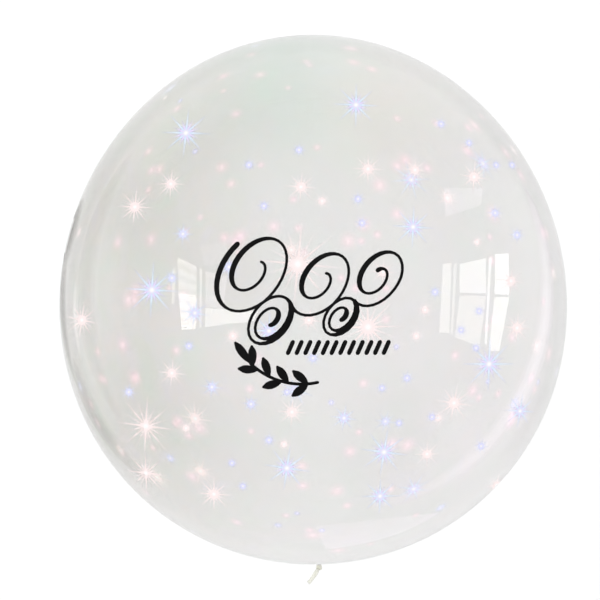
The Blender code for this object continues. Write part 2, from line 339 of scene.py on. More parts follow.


# Materials

# Patches of painted shade and light on the film: the place across and up from the origin and the
# spread, in metres, and how much red, green and blue one wall loses there as painted shade, or gains as
# painted light where it is negative
PAINTED_FILM_SHADING = (
    (-0.02, 0.235, 0.075, (0.078, 0.036, 0.060)),
    (-0.11, 0.19, 0.08, (0.036, 0.032, 0.042)),
    (-0.20, 0.11, 0.06, (0.046, 0.046, 0.056)),
    (-0.20, -0.12, 0.08, (0.052, 0.052, 0.058)),
    (-0.10, 0.06, 0.05, (0.014, 0.014, 0.018)),
    (0.07, 0.19, 0.06, (0.004, 0.014, 0.032)),
    (0.16, 0.18, 0.07, (0.024, 0.024, 0.026)),
    (0.16, -0.12, 0.07, (-0.022, -0.014, -0.022)),
    (0.02, -0.18, 0.08, (-0.012, -0.012, -0.012)),
)
# How much light one wall loses at the grey rim, as painted shade that also stands for the film's longer
# path where it turns away, between two shares of facing; it begins above the neck and eases off towards
# the crown
RIM_PAINTED_SHADE = 0.14
RIM_FACING = (0.58, 0.72)
RIM_START = (-0.19, -0.09)
RIM_CROWN = (0.14, 0.24)
RIM_CROWN_EASE = 0.45
# Painted shade on the left: how much red, green and blue one wall loses there, and where that begins and
# is full
LEFT_PAINTED_SHADE = (0.050, 0.051, 0.056)
LEFT_SHADE_SPAN = (0.02, -0.20)
# What one clear wall lets through at least, and how much more in its clearest places
WALL_CLEARNESS = 0.980
WALL_CLEARER = 0.020
# The film's plain grey, how much of the pearly tints, a painted reflection of the room, show over it,
# and how much more on the left
PEARL_GREY = (0.886, 0.885, 0.886, 1.0)
PEARL_REFLECTION_SHARE = 0.35
PEARL_REFLECTION_LEFT_SHARE = 0.45
FILM_REFRACTION = 1.42


def clear_film():
    """Clear glossy film, with soft green, olive, rose and lilac tints painted as a reflection of the
    room, painted shade on the left and at a grey rim, and patches of painted shade and light.
    """
    material, nodes, shader = new_material("clear film")
    place = nodes.add("ShaderNodeTexCoord", output="Object")
    # Pearly tints painted into the film's colour, standing for the room mirrored in it
    cloud = nodes.add("ShaderNodeTexNoise", {"noise_dimensions": "4D"}, {
        "Vector": place, "W": 3.1, "Scale": 19.0, "Detail": 4.0, "Roughness": 0.58, "Distortion": 0.8})
    pearl_reflection = nodes.add("ShaderNodeValToRGB", {"stops": (
        (0.34, (0.852, 0.893, 0.856)),
        (0.43, (0.884, 0.884, 0.846)),
        (0.50, (0.884, 0.884, 0.884)),
        (0.57, (0.905, 0.876, 0.852)),
        (0.68, (0.904, 0.878, 0.922)),
    )}, {"Fac": cloud})
    depth = nodes.add("ShaderNodeTexNoise", {"noise_dimensions": "4D"}, {
        "Vector": place, "W": 8.4, "Scale": 8.0, "Detail": 3.0, "Roughness": 0.55})
    across = nodes.add("ShaderNodeSeparateXYZ", {}, {0: place})
    up = across.output("Y")
    # Painted shade on the left side of the film
    left = across.ramp_between(*LEFT_SHADE_SPAN)
    # Painted shade at the rim, partly for the film's longer path where it turns away
    facing = nodes.add("ShaderNodeLayerWeight", {}, {"Blend": 0.5}, output="Facing")
    rim = facing.ramp_between(*RIM_FACING) * up.ramp_between(*RIM_START)
    rim = rim * (1 - RIM_CROWN_EASE * up.ramp_between(*RIM_CROWN))
    # Patches of painted shade, and of painted light where their losses are negative
    painted_patches = []
    for patch_x, patch_y, spread, shade_losses in PAINTED_FILM_SHADING:
        apart = (across - patch_x) ** 2 + (up - patch_y) ** 2
        painted_patches.append(((apart ** 0.5).bell(spread), shade_losses))
    tones = []
    for channel in range(3):
        tone = WALL_CLEARNESS + WALL_CLEARER * depth.ramp_between(0.38, 0.62)
        tone = tone - LEFT_PAINTED_SHADE[channel] * left - RIM_PAINTED_SHADE * rim
        for strength, shade_losses in painted_patches:
            tone = tone - strength * shade_losses[channel]
        tones.append(tone)
    # Over the plain grey, the painted pearly reflection, with more of it on the left
    pearl_reflection = nodes.mix_color(PEARL_REFLECTION_SHARE + PEARL_REFLECTION_LEFT_SHARE * left, PEARL_GREY, pearl_reflection)
    nodes.feed(shader["Base Color"], nodes.mix_color(1.0, pearl_reflection, nodes.vector(*tones), "MULTIPLY"))
    shader["Roughness"].default_value = 0.03
    shader["IOR"].default_value = FILM_REFRACTION
    shader["Transmission Weight"].default_value = 1.0
    return material


def olive_film():
    """The same film bunched in the knot and tail, where its many layers look cloudy and olive."""
    material, nodes, shader = new_material("bunched film")
    place = nodes.add("ShaderNodeTexCoord", output="Object")
    fold = nodes.add("ShaderNodeTexNoise", {}, {
        "Vector": place, "Scale": 420.0, "Detail": 3.0, "Roughness": 0.6})
    color = nodes.add("ShaderNodeValToRGB", {"stops": (
        (0.35, (0.80, 0.80, 0.70)),
        (0.65, (0.94, 0.94, 0.88)),
    )}, {"Fac": fold})
    nodes.feed(shader["Base Color"], color)
    bump = nodes.add("ShaderNodeBump", {}, {"Strength": 0.5, "Distance": 0.0003, "Height": fold})
    nodes.feed(shader["Normal"], bump)
    shader["Roughness"].default_value = 0.22
    shader["IOR"].default_value = FILM_REFRACTION
    shader["Transmission Weight"].default_value = 0.8
    return material


def black_vinyl():
    """Cut vinyl: near black, a low sheen and a very fine cast grain."""
    material, nodes, shader = new_material("black vinyl")
    place = nodes.add("ShaderNodeTexCoord", output="Object")
    grain = nodes.add("ShaderNodeTexNoise", {}, {
        "Vector": place, "Scale": 900.0, "Detail": 3.0, "Roughness": 0.6})
    wear = nodes.add("ShaderNodeTexNoise", {}, {
        "Vector": place, "Scale": 45.0, "Detail": 4.0, "Roughness": 0.55})
    color = nodes.add("ShaderNodeValToRGB", {"stops": (
        (0.35, (0.0022, 0.0022, 0.0024)),
        (0.70, (0.0058, 0.0058, 0.0062)),
    )}, {"Fac": wear})
    nodes.feed(shader["Base Color"], color)
    nodes.feed(shader["Roughness"], 0.50 + 0.14 * wear.ramp_between(0.3, 0.7))
    bump = nodes.add("ShaderNodeBump", {}, {"Strength": 0.12, "Distance": 0.0001, "Height": grain})
    nodes.feed(shader["Normal"], bump)
    shader["Specular IOR Level"].default_value = 0.06
    return material


# A star has as many short rays as long ones. On a small star, whose core takes more of its patch, they
# are wider for its size and fainter.
GLINT_RAYS = 8
RAY_WIDTH = 0.016
RAY_WIDENING = 2.4
RAY_STRENGTH = 1.3
RAY_WEAKENING = 18.0
RAY_TIP_WIDTH = 0.45
RAY_FALL = 0.8
SHORT_RAY_WIDTH = 0.85
# How much each part of a star covers of the film behind it
CORE_COVER = 1.4
HALO_COVER = 0.90
LONG_RAY_COVER = 1.1
SHORT_RAY_COVER = 0.9
# How far a core spreads in core sizes, how white it is, how much of their colour long rays have and
# how much of it they lose in the halo, and the share of a patch over which it fades at its edge
CORE_SPREAD = 1.1
CORE_WHITENESS = 1.35
LONG_RAY_TINT = 1.5
HALO_LOSS = 0.8
STAR_EDGE = 0.08
BLACK = (0.0, 0.0, 0.0, 1.0)
CORE_WHITE = (1.0, 1.0, 1.0, 1.0)


def patch_place(nodes):
    """Where a point lies on a glint's patch: across, up, and its distance from the middle."""
    spot = nodes.add("ShaderNodeUVMap", {"uv_map": "UVMap"})
    split = nodes.add("ShaderNodeSeparateXYZ", {}, {0: spot})
    across = split * 2 - 1
    up = split.output("Y") * 2 - 1
    return across, up, (across * across + up * up) ** 0.5


def finish_painted_glint(nodes, shader, color, cover, strength):
    """A painted glint: glowing colour with no shine of its own, which shows as much as its cover says.
    """
    nodes.feed(shader["Emission Color"], color)
    nodes.feed(shader["Alpha"], cover.share())
    shader["Emission Strength"].default_value = strength
    shader["Base Color"].default_value = BLACK
    shader["Specular IOR Level"].default_value = 0.0
    shader["Roughness"].default_value = 1.0


def star_rays(turn, radius, phase, reach, width):
    """Rays round a centre, each thinning and fading out towards its tip."""
    nearest = ((turn * GLINT_RAYS + phase).part() - 0.5) * (2 * math.pi / GLINT_RAYS)
    aside = radius * nearest.size()
    left = (1 - radius / reach).share()
    return aside.bell(width * (RAY_TIP_WIDTH + (1 - RAY_TIP_WIDTH) * left)) * left ** RAY_FALL


def glint(name, long_color, short_color, halo_color, halo_spread, short_reach, strength):
    """A painted star glint that glows: a white core, a soft halo, long rays and shorter rays between
    them.
    """
    material, nodes, shader = new_material(name)
    across, up, radius = patch_place(nodes)
    turn = across.maths("ARCTAN2", up, across) / (2 * math.pi)
    core_size = nodes.add("ShaderNodeAttribute", {"attribute_name": "core_share"}, output="Fac")

    core = radius.bell(core_size * CORE_SPREAD)
    halo = radius.bell(core_size * halo_spread)
    smallness = core_size - GLINT_CORE_SHARE
    ray_size = RAY_WIDENING * smallness + RAY_WIDTH
    shown = (RAY_STRENGTH - RAY_WEAKENING * smallness).share()
    long_rays = star_rays(turn, radius, 0.5, 1.0, ray_size) * shown
    short_rays = star_rays(turn, radius, 0.0, short_reach, SHORT_RAY_WIDTH * ray_size) * shown

    color = nodes.mix_color(short_rays.share(), halo_color, short_color)
    tint = long_rays * LONG_RAY_TINT * (1 - HALO_LOSS * halo)
    color = nodes.mix_color(tint.share(), color, long_color)
    color = nodes.mix_color((core * CORE_WHITENESS).share(), color, CORE_WHITE)
    cover = core * CORE_COVER + halo * HALO_COVER
    cover = cover + long_rays * LONG_RAY_COVER + short_rays * SHORT_RAY_COVER
    cover = cover * (1 - radius).ramp_between(0.0, STAR_EDGE)
    finish_painted_glint(nodes, shader, color, cover, strength)
    return material


SOFT_HALO_COLOR = (1.0, 0.73, 0.80, 1.0)
SOFT_CORE_COLOR = (1.0, 0.79, 0.84, 1.0)
SOFT_STRENGTH = 1.28
# The spread and the cover of a soft dot's middle and of its halo, and where it fades at its edge
SOFT_CORE_SPREAD = 0.22
SOFT_CORE_COVER = 0.2
SOFT_HALO_SPREAD = 0.50
SOFT_HALO_COVER = 0.45
SOFT_EDGE = 0.3


def soft_glint():
    """A painted glint: a round blurred glowing dot of rose, with no rays."""
    material, nodes, shader = new_material("soft rose glint")
    _, _, radius = patch_place(nodes)
    core = radius.bell(SOFT_CORE_SPREAD)
    color = nodes.mix_color(core, SOFT_HALO_COLOR, SOFT_CORE_COLOR)
    cover = SOFT_CORE_COVER * core + SOFT_HALO_COVER * radius.bell(SOFT_HALO_SPREAD)
    cover = cover * (1 - radius).ramp_between(0.0, SOFT_EDGE)
    finish_painted_glint(nodes, shader, color, cover, SOFT_STRENGTH)
    return material


# The film

FILM_SIZES = {
    "Sides": 192,
    "Rings": 140,
    "Width": BUBBLE_WIDTH,
    "Height": BUBBLE_HEIGHT,
    "Neck Fullness": NECK_FULLNESS,
    "Axis Height": AXIS_HEIGHT,
    "Gather Radius": GATHER_RADIUS,
    "Waist Radius": WAIST_RADIUS,
    "Waist Drop": WAIST_DROP,
    "Gather Share": 0.12,
    "Pleats": 21.0,
    "Pleat Depth": 0.9 * MM,
    "Pleat Reach": 14.0 * MM,
    "Fine Depth": 0.22 * MM,
    "Fine Reach": 48.0 * MM,
}
# How closely the film's rings crowd towards the neck, the share of its length at which the crown
# closes, and how near two points are merged there and along the seam
RING_CROWDING = 1.35
CROWN_SHARE = 0.999999
MERGE_DISTANCE = 0.01 * MM


def film_tree(material):
    """The film's outer surface: a grid of rings, wrapped round the axis from waist to crown."""
    nodes, size = new_shape_tree("bubble film", FILM_SIZES)
    grid = nodes.add("GeometryNodeMeshGrid", {}, {
        "Size X": 1.0, "Size Y": 1.0, "Vertices X": size["Sides"] + 1, "Vertices Y": size["Rings"] + 1})
    flat = nodes.add("GeometryNodeInputPosition")
    split = nodes.add("ShaderNodeSeparateXYZ", {}, {0: flat})
    around = (split + 0.5) * (2 * math.pi)
    along = split.output("Y") + 0.5

    half = size["Height"] / 2
    gather_sine = size["Gather Radius"] / (size["Width"] / 2 * (1 + size["Neck Fullness"]))
    start = gather_sine.maths("ARCSINE", gather_sine)
    body = ((along - size["Gather Share"]) / (1 - size["Gather Share"])).share()
    turn = start + (math.pi - start) * body ** RING_CROWDING
    share = -turn.cosine()
    body_radius = size["Width"] / 2 * turn.sine() * (1 - size["Neck Fullness"] * share)

    gather = (1 - along / size["Gather Share"]).share()
    gather_y = -(half * start.cosine())
    waist_y = -(half + size["Waist Drop"])
    bent = gather * gather
    gathered = size["Gather Radius"] * (1 - gather) ** 2 + size["Waist Radius"] * (2 * gather - bent)
    radius = body_radius + gathered - size["Gather Radius"]
    middle = size["Neck Fullness"] * half
    y = middle + half * share + (waist_y - gather_y) * bent

    # Two sets of pleats, which sway round the neck so that no two pleats are alike
    reach = (turn - start) * half
    wave = (around * size["Pleats"] + 1.3 * (around * 3).sine()).cosine()
    second = (around * (size["Pleats"] - 6) + 2.1 * (around * 2 + 1).sine()).cosine()
    ripple = 0.6 * wave + 0.4 * second
    squeeze = gathered / size["Gather Radius"]
    coarse = size["Pleat Depth"] * (reach / size["Pleat Reach"]).fading() * squeeze
    fine = size["Fine Depth"] * (reach / size["Fine Reach"]).fading() * squeeze
    radius = (radius + ripple * (coarse + fine)) * along.maths("LESS_THAN", along, CROWN_SHARE)

    z = (size["Axis Height"] - radius * around.cosine()).at_least(0.0)
    place = nodes.vector(-(radius * around.sine()), y, z)
    form = nodes.add("GeometryNodeSetPosition", {}, {"Geometry": grid, "Position": place})
    form = nodes.add("GeometryNodeMergeByDistance", {}, {"Geometry": form, "Distance": MERGE_DISTANCE})
    return finish_shape_tree(nodes, form, material)


def make_film(material):
    """The round clear film, from its crown to the waist that the knot closes."""
    film = shaped("film_envelope", bpy.data.meshes.new("film"), film_tree(material), FILM_SIZES)
    hide_from(film, "shadow", "diffuse")
    return film


def thicken_film(film):
    """Gives the film its wall, on its inside."""
    wall = film.modifiers.new("wall", "SOLIDIFY")
    wall.thickness = FILM_WALL
    wall.offset = -1.0


def loft(form, rings):
    """A closed skin over rings of points, each with as many points as the next."""
    rows = [[form.verts.new(point) for point in ring] for ring in rings]
    for upper, lower in zip(rows, rows[1:]):
        for index in range(len(upper)):
            after = (index + 1) % len(upper)
            form.faces.new((upper[index], lower[index], lower[after], upper[after]))
    form.faces.new(rows[0])
    form.faces.new(rows[-1][::-1])


KNOT_SIDES = 40
KNOT_RINGS = 26
TAIL_RINGS = 44
WAIST_Y = MIDDLE_Y - BUBBLE_HEIGHT / 2 - WAIST_DROP
# The knot starts this far inside the waist and a little thinner than it, and its bulge closes a little
# before its end. Each set of lobes has a depth, a number of lobes and a twist.
KNOT_OVERLAP = 0.4 * MM
KNOT_END_RADIUS = 0.92 * WAIST_RADIUS
KNOT_CLOSING = 1.05
KNOT_FULLNESS = 0.7
KNOT_LOBES = ((0.09, 5, 4.2), (0.06, 8, -3.0))
# The tail is round for a share of its length and flattens over the next share. Each set of crinkles has
# a depth, its waves on each millimetre, a drift along the tail and a phase. The end is ragged.
TAIL_ROOT_RADIUS = 0.8 * WAIST_RADIUS
TAIL_ROUND_SHARE = 0.10
TAIL_FLATTENING = 0.22
TAIL_CRINKLES = ((0.28 * MM, 2.6, 5.0, 0.0), (0.16 * MM, 4.1, -9.0, 1.0))
TAIL_RAGGED_START = 0.8
TAIL_RAGGED_DEPTH = 0.5 * MM
TAIL_RAGGED_WAVES = 1.9


def knot_rings():
    """Rings of the knot: a lobed bulge of twisted pleats that starts inside the gathered waist."""
    rings = []
    for ring in range(KNOT_RINGS + 1):
        share = ring / KNOT_RINGS
        bulge = max(0.0, math.sin(math.pi * min(1.0, KNOT_CLOSING * share)))
        swell = bulge ** KNOT_FULLNESS
        radius = KNOT_END_RADIUS + (KNOT_RADIUS - WAIST_RADIUS) * swell
        y = WAIST_Y + KNOT_OVERLAP - (KNOT_LENGTH + KNOT_OVERLAP) * share
        points = []
        for side in range(KNOT_SIDES):
            angle = 2 * math.pi * side / KNOT_SIDES
            lobes = 0.0
            for depth, count, twist in KNOT_LOBES:
                lobes += depth * math.cos(count * angle + twist * share)
            reach = radius * (1 + lobes)
            points.append((reach * math.sin(angle), y, AXIS_HEIGHT + reach * math.cos(angle)))
        rings.append(points)
    return rings


def tail_rings():
    """Rings of the tail: it leaves the knot round, then lies flat, crinkled and a little twisted."""
    rooted = KNOT_LENGTH / 2
    place = Vector((0.0, WAIST_Y - KNOT_LENGTH + rooted, AXIS_HEIGHT))
    stride = (TAIL_LENGTH + rooted) / TAIL_RINGS
    rings = []
    for ring in range(TAIL_RINGS + 1):
        share = ring / TAIL_RINGS
        lean = TAIL_LEAN + TAIL_BEND * (share - 0.5)
        onward = Vector((-math.sin(lean), -math.cos(lean), 0.0))
        beside = Vector((math.cos(lean), -math.sin(lean), 0.0))
        flat = min(1.0, max(0.0, (share - TAIL_ROUND_SHARE) / TAIL_FLATTENING))
        flat = flat * flat * (3 - 2 * flat)
        half_width = TAIL_ROOT_RADIUS + (TAIL_WIDTH / 2 - TAIL_ROOT_RADIUS) * flat
        half_thick = TAIL_ROOT_RADIUS + (TAIL_THICKNESS / 2 - TAIL_ROOT_RADIUS) * flat
        ragged_share = max(0.0, share - TAIL_RAGGED_START) / (1 - TAIL_RAGGED_START)
        twist = TAIL_TWIST * share
        points = []
        for side in range(KNOT_SIDES):
            angle = 2 * math.pi * side / KNOT_SIDES
            width = half_width * math.cos(angle)
            crinkle = 0.0
            for depth, waves, drift, phase in TAIL_CRINKLES:
                crinkle += depth * flat * math.sin(waves * width / MM + drift * share + phase)
            rise = half_thick * math.sin(angle) + crinkle
            over = width * math.cos(twist) - rise * math.sin(twist)
            lift = width * math.sin(twist) + rise * math.cos(twist)
            ragged = TAIL_RAGGED_DEPTH * math.sin(TAIL_RAGGED_WAVES * width / MM) * ragged_share
            point = place + beside * over + onward * ragged + Vector((0.0, 0.0, lift))
            points.append(tuple(point))
        rings.append(points)
        place = place + onward * stride
    return rings


# The loop drawn round the knot: how far it climbs on its way, the share of its radius by which it sinks
# into the knot, how soon it is full, its thickness at both ends, and the depth of its three lobes
WRAP_TURNS = 1.2
WRAP_RADIUS = 1.1 * MM
WRAP_TILT = math.radians(18.0)
WRAP_CLIMB = 2.0 * MM
WRAP_SINK = 0.7
WRAP_TAPER = 0.35
WRAP_TIP = 0.05
WRAP_LOBES = 0.12
WRAP_RINGS = 60
WRAP_SIDES = 12


def wrap_rings():
    """Rings of the loop of film that is drawn round the knot on a tilt."""
    centre = Vector((0.0, WAIST_Y - KNOT_LENGTH / 2, AXIS_HEIGHT))
    tilt = Matrix.Rotation(WRAP_TILT, 3, "Z")
    rings = []
    for ring in range(WRAP_RINGS + 1):
        share = ring / WRAP_RINGS
        turn = 2 * math.pi * WRAP_TURNS * share
        outward = Vector((math.sin(turn), 0.0, math.cos(turn)))
        fullness = math.sin(math.pi * share) ** WRAP_TAPER if 0 < share < 1 else WRAP_TIP
        middle = outward * (KNOT_RADIUS - WRAP_SINK * WRAP_RADIUS)
        middle += Vector((0.0, WRAP_CLIMB * (0.5 - share), 0.0))
        points = []
        for side in range(WRAP_SIDES):
            angle = 2 * math.pi * side / WRAP_SIDES
            reach = WRAP_RADIUS * fullness * (1 + WRAP_LOBES * math.cos(3 * angle + 6 * share))
            across = outward * (reach * math.cos(angle)) + Vector((0.0, reach * math.sin(angle), 0.0))
            points.append(tuple(centre + tilt @ (middle + across)))
        rings.append(points)
    return rings


def make_knot_and_tail(material):
    """The knot tied in the neck and the short flat tail that is left below it."""
    form = bmesh.new()
    loft(form, knot_rings())
    loft(form, tail_rings())
    loft(form, wrap_rings())
    bmesh.ops.recalc_face_normals(form, faces=form.faces)
    for face in form.faces:
        face.smooth = True
    mesh = bpy.data.meshes.new("knot_and_tail")
    form.to_mesh(mesh)
    form.free()
    mesh.materials.append(material)
    piece = add_piece("knot_and_tail", mesh)
    hide_from(piece, "shadow", "glossy")
    return piece


# Camera

def make_camera():
    """Straight above the decoration, turned as the photograph is."""
    data = bpy.data.cameras.new("camera")
    data.sensor_width = SENSOR_WIDTH
    data.lens = SENSOR_WIDTH * CAMERA_DISTANCE / (PHOTO_PIXELS * PIXEL)
    camera = bpy.data.objects.new("camera", data)
    bpy.context.scene.collection.objects.link(camera)
    aside = (PHOTO_PIXELS / 2 - BUBBLE_CENTRE_PIXEL[0]) * PIXEL
    above = (BUBBLE_CENTRE_PIXEL[1] - PHOTO_PIXELS / 2) * PIXEL
    turned = Matrix.Rotation(CAMERA_ROLL, 3, "Z")
    offset = turned @ Vector((aside, above, CAMERA_DISTANCE))
    camera.location = Vector((0.0, MIDDLE_Y, AXIS_HEIGHT)) + offset
    camera.rotation_euler = (0.0, 0.0, CAMERA_ROLL)
    bpy.context.scene.camera = camera
    return camera


def sight_line(pixel):
    """Direction from the camera through a pixel of the photograph."""
    across = (pixel[0] - PHOTO_PIXELS / 2) * PIXEL
    up = (PHOTO_PIXELS / 2 - pixel[1]) * PIXEL
    turned = Matrix.Rotation(CAMERA_ROLL, 3, "Z")
    return (turned @ Vector((across, up, -CAMERA_DISTANCE))).normalized()


# Glints

# A core's radius, which is added to its share of the star's reach
GLINT_CORE = 0.34 * MM
GLINT_CORE_SHARE = 0.058
# Rays fade before they end, so a patch reaches this many times further than its star shows
GLINT_TIP = 1.12
# How far the painted glints lie above the film, and how far below its outside those on its inside lie
GLINT_LIFT = 0.16 * MM
INNER_LIFT = -FILM_WALL - GLINT_LIFT

# Points along each side of a patch, and how far a patch may be turned, in radians
PATCH_POINTS = 7
PATCH_SPIN = -0.24

# The colours of long rays, short rays and halo
ROSE_COLORS = ((1.0, 0.86, 0.84, 1.0), (1.0, 0.87, 0.86, 1.0), (1.0, 0.885, 0.905, 1.0))
BLUE_COLORS = ((0.73, 0.88, 0.97, 1.0), (0.88, 0.72, 0.95, 1.0), (0.69, 0.69, 1.0, 1.0))
# Each kind of star: its marked places, its colours, the spread of its halo in core sizes, the reach of
# its short rays, how many lie on each square metre of the back, and a seed
STAR_KINDS = (
    ("rose", ROSE_GLINTS, ROSE_COLORS, 2.6, 0.80, 36.0, 4),
    ("blue", BLUE_GLINTS, BLUE_COLORS, 3.4, 0.62, 52.0, 9),
)
# The least and the most reach of the scattered stars and soft dots, how rare the large ones are, and
# how far up the film that they lie on may face, as the Z of its normal
STAR_SPREAD = (6 * MM, 26 * MM, 3.0, 0.05)
SOFT_SPREAD = (7 * MM, 17 * MM, 1.4, -0.15)
SOFT_DENSITY = 380.0
SOFT_SEED = 15
# How brightly the painted glints glow, on the front and inside the back
FRONT_STRENGTH = 1.0
BACK_STRENGTH = 1.15


def glint_sizes(film, density, spread, lift, seed):
    """The inputs of a glint tree."""
    low, high, rarity, front = spread
    return {
        "Film": film,
        "Scattered": density,
        "Least Reach": low,
        "Most Reach": high,
        "Large Ones Rare": rarity,
        "Front Limit": front,
        "Lift": lift,
        "Core": GLINT_CORE,
        "Core Share": GLINT_CORE_SHARE,
        "Seed": seed,
    }


def glint_tree(name, sizes, material, from_front):
    """Patches of painted glints laid on the film: at the marked places, and scattered where none is
    marked.

    Those placed from the front lie level above the film and drop straight down on it.
    """
    nodes, size = new_shape_tree(name, sizes)
    film = nodes.add("GeometryNodeObjectInfo", {}, {"Object": size["Film"]}, output="Geometry")
    normal = nodes.add("GeometryNodeInputNormal")
    facing_up = nodes.add("ShaderNodeSeparateXYZ", {}, {0: normal}, output="Z")
    behind = facing_up.maths("LESS_THAN", facing_up, size["Front Limit"])

    scatter = nodes.add("GeometryNodeDistributePointsOnFaces", {}, {
        "Mesh": film, "Selection": behind, "Density": size["Scattered"], "Seed": size["Seed"]})
    pick = nodes.add("FunctionNodeRandomValue", {}, {"Seed": size["Seed"]}, output=1)
    longer = (size["Most Reach"] - size["Least Reach"]) * pick ** size["Large Ones Rare"]
    reach = size["Least Reach"] + longer
    sockets = {"Geometry": scatter, "Name": "reach", "Value": reach}
    scatter = nodes.add("GeometryNodeStoreNamedAttribute", {}, sockets)

    marked = nodes.add("GeometryNodeMeshToPoints", {}, {"Mesh": size["Geometry"]})
    points = nodes.add("GeometryNodeJoinGeometry", {}, {0: scatter})
    nodes.tree.links.new(marked.socket, points.socket.node.inputs[0])
    own_reach = nodes.add("GeometryNodeInputNamedAttribute", {}, {"Name": "reach"})
    core = size["Core"] / own_reach + size["Core Share"]
    sockets = {"Geometry": points, "Name": "core_share", "Value": core}
    points = nodes.add("GeometryNodeStoreNamedAttribute", {}, sockets)

    patch = nodes.add("GeometryNodeMeshGrid", {}, {
        "Size X": 2.0, "Size Y": 2.0, "Vertices X": PATCH_POINTS, "Vertices Y": PATCH_POINTS})
    settings = {"data_type": "FLOAT2", "domain": "CORNER"}
    sockets = {"Geometry": patch, "Name": "UVMap", "Value": patch.output("UV Map")}
    patch = nodes.add("GeometryNodeStoreNamedAttribute", settings, sockets)

    place = nodes.add("GeometryNodeInputPosition")
    out = nodes.add("GeometryNodeSampleNearestSurface", {"data_type": "FLOAT_VECTOR"}, {
        "Mesh": film, "Value": normal, "Sample Position": place})
    upright = (0.0, 0.0, 1.0) if from_front else out
    facing = nodes.add("FunctionNodeAlignRotationToVector", {"axis": "Z"}, {"Vector": upright})
    spin = nodes.add("FunctionNodeRandomValue", {}, {
        2: PATCH_SPIN, 3: 0.0, "Seed": size["Seed"] + 1}, output=1)
    about = nodes.add("FunctionNodeAxisAngleToRotation", {}, {"Axis": (0.0, 0.0, 1.0), "Angle": spin})
    facing = nodes.add("FunctionNodeRotateRotation", {"rotation_space": "LOCAL"}, {
        "Rotation": facing, "Rotate By": about})
    stars = nodes.add("GeometryNodeInstanceOnPoints", {}, {
        "Points": points, "Instance": patch, "Rotation": facing, "Scale": own_reach})
    stars = nodes.add("GeometryNodeRealizeInstances", {}, {"Geometry": stars})

    nearest = nodes.add("GeometryNodeProximity", {"target_element": "FACES"}, {
        0: film, "Sample Position": place})
    if from_front:
        above = nodes.add("ShaderNodeVectorMath", {"operation": "ADD"}, {0: place, 1: (0.0, 0.0, 1.0)})
        drop = nodes.add("GeometryNodeRaycast", {}, {
            "Target Geometry": film, "Source Position": above, "Ray Direction": (0.0, 0.0, -1.0)})
        nearest = nodes.add("GeometryNodeSwitch", {"input_type": "VECTOR"}, {
            "Switch": drop, "False": nearest, "True": drop.output("Hit Position")})
    lift = nodes.add("ShaderNodeVectorMath", {"operation": "SCALE"}, {0: out, "Scale": size["Lift"]})
    laid = nodes.add("ShaderNodeVectorMath", {"operation": "ADD"}, {0: nearest, 1: lift})
    stars = nodes.add("GeometryNodeSetPosition", {}, {"Geometry": stars, "Position": laid})
    return finish_shape_tree(nodes, stars, material)


def marked_places(name, camera, film, glints):
    """A mesh of loose points, one on the film at each glint's pixel, with its reach stored."""
    places, reaches = [], []
    for across, down, reach in glints:
        hit, place, _, _ = film.ray_cast(camera.location, sight_line((across, down)))
        if hit:
            distance = (place - camera.location).length
            places.append(place)
            reaches.append(reach * GLINT_TIP * PIXEL * distance / CAMERA_DISTANCE)
    mesh = bpy.data.meshes.new(name)
    mesh.from_pydata(places, [], [])
    mesh.attributes.new("reach", "FLOAT", "POINT").data.foreach_set("value", reaches)
    return mesh


def make_glints(name, mesh, sizes, material, from_front=False):
    """One piece of glowing patches that paint glints, which throw no shadow and no light on other
    pieces.
    """
    piece = shaped(name, mesh, glint_tree(name, sizes, material, from_front), sizes)
    hide_from(piece, "shadow", "diffuse", "glossy")
    return piece


# Surroundings

FLOOR_SIZE = 16.0
FLOOR_DROP = 1.0 * MM
FLOOR_COLOR = (0.93, 0.93, 0.93)
FLOOR_ROUGHNESS = 0.9
LAMP_SIZE = 2.6
LAMP_POWER = 42.0
LAMP_PLACE = (-1.2, 1.4, 3.4)
LAMP_TARGET = (0.0, 0.0, 0.2)


def plain_material(name, color, roughness):
    """One colour and one roughness all over."""
    material, _, shader = new_material(name)
    shader["Base Color"].default_value = (*color, 1.0)
    shader["Roughness"].default_value = roughness
    return material


def make_floor():
    """A wide pale floor just under the balloon."""
    bpy.ops.mesh.primitive_plane_add(size=FLOOR_SIZE, location=(0.0, 0.0, -FLOOR_DROP))
    floor = bpy.context.active_object
    floor.name = "floor"
    floor.data.materials.append(plain_material("pale floor", FLOOR_COLOR, FLOOR_ROUGHNESS))


def mirrored_place(camera, film, pixel, reach):
    """Where the surroundings hold what the film mirrors at a pixel, at a reach from the film."""
    direction = sight_line(pixel)
    hit, place, _, face = film.ray_cast(camera.location, direction)
    if not hit:
        return None
    corners = [film.data.vertices[index] for index in film.data.polygons[face].vertices]
    weights = poly_3d_calc([corner.co for corner in corners], place)
    out = Vector()
    for corner, weight in zip(corners, weights):
        out += corner.normal * weight
    out.normalize()
    return place + (direction - 2 * direction.dot(out) * out) * reach


def pane_grid(corners, glow, tint, blind):
    """Small panes that fill a pane's pixels, so that its edges stay straight in the mirror image."""
    upper_left, upper_right, lower_right, lower_left = (Vector(corner) for corner in corners)
    columns = math.ceil((upper_right - upper_left).length / PANE_STEP)
    rows = math.ceil((lower_left - upper_left).length / PANE_STEP)

    def pixel(column, row):
        upper = upper_left.lerp(upper_right, column / columns)
        lower = lower_left.lerp(lower_right, column / columns)
        return upper.lerp(lower, row / rows)

    panes = []
    for row in range(rows):
        light = glow * (1 - blind * (row % 2))
        for column in range(columns):
            ring = ((column, row), (column + 1, row), (column + 1, row + 1), (column, row + 1))
            panes.append(([pixel(*place) for place in ring], light, tint))
    return panes


